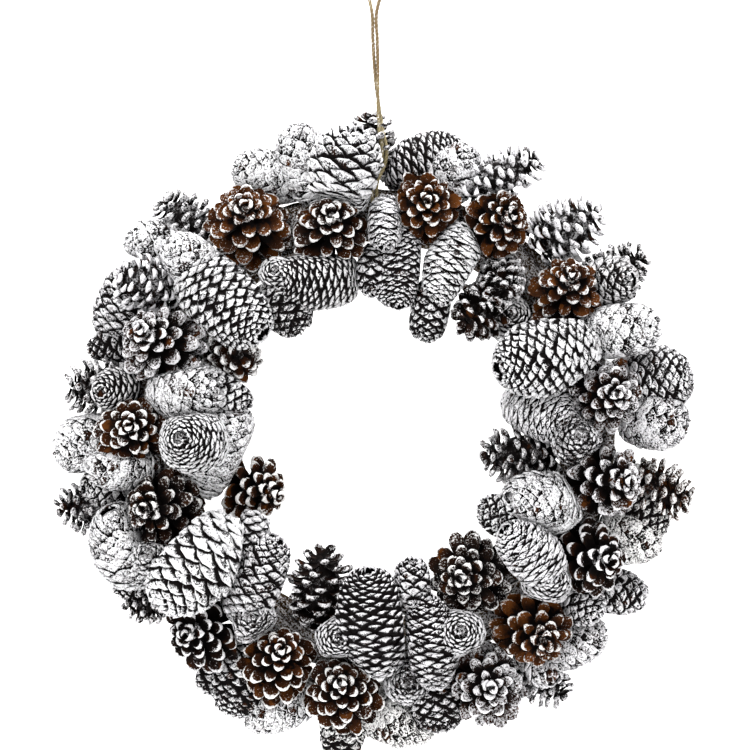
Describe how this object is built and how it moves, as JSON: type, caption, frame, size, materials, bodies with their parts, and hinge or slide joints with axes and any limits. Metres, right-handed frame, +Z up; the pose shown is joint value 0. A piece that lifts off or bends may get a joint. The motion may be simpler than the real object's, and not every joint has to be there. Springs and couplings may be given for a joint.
{
  "type": "pinecone wreath",
  "caption": "Round wreath of frosted open and closed pine cones layered on a ring of twisted vine, hung by a loop of jute twine.",
  "frame": {"origin": "inside top of the twine loop, where a hook carries the wreath", "axes": "+Z up, -Y out of the wreath's front towards the viewer, +X to the viewer's right"},
  "size_m": [0.3686, 0.0784, 0.4659],
  "materials": {
    "brown": "warm brown open scales with frosted rims",
    "russet": "red-brown open scales with frosted rims",
    "dark": "near-black brown scales dusted grey",
    "frosted": "scales under grey-lilac frost",
    "white": "scales flocked white",
    "vine": "bare brown bark",
    "jute": "rough straw-coloured twine"
  },
  "bodies": {
    "root": {"vine_ring": "vine", "jute_hanger": "jute", "cone_top_edge": "dark", "cone_top_bold": "white", "cone_top_white": "white", "cone_top_grey": "frosted", "cone_top_left_open": "brown", "cone_top_right_open": "russet", "cone_top_inner": "frosted", "cone_top_blue": "frosted", "cone_top_inner_white": "white", "cone_top_inner_ringed": "dark", "cone_one_open": "brown", "cone_one_bumpy": "frosted", "cone_two_open": "brown", "cone_two_outer": "dark", "cone_two_inner": "dark", "cone_two_white": "white", "cone_three_diamond": "white", "cone_three_ringed": "frosted", "cone_three_open": "frosted", "cone_three_outer": "frosted", "cone_three_inner": "dark", "cone_four_open": "frosted", "cone_four_outer": "brown", "cone_four_inner": "white", "cone_four_lilac": "frosted", "cone_five_open": "dark", "cone_five_outer": "frosted", "cone_five_inner_open": "brown", "cone_six_striped": "frosted", "cone_five_brown_open": "russet", "cone_five_edge": "frosted", "cone_six_white_open": "frosted", "cone_six_edge": "frosted", "cone_six_great": "frosted", "cone_six_comb": "dark", "cone_six_open": "brown", "cone_six_lowest": "brown", "cone_seven_edge": "white", "cone_seven_open": "russet", "cone_seven_inner": "frosted", "cone_eight_open": "dark", "cone_eight_great": "white", "cone_eight_edge": "dark", "cone_nine_open": "brown", "cone_nine_edge": "dark", "cone_eight_ringed": "white", "cone_nine_upper_open": "brown", "cone_nine_white": "white", "cone_nine_inner": "white", "cone_nine_inner_open": "russet", "cone_ten_white": "white", "cone_ten_small_open": "brown", "cone_ten_diamond": "white", "cone_ten_open": "frosted", "cone_ten_outer": "frosted", "cone_ten_edge": "dark", "cone_eleven_white": "white", "cone_eleven_open": "brown"}
  },
  "joints": []
}
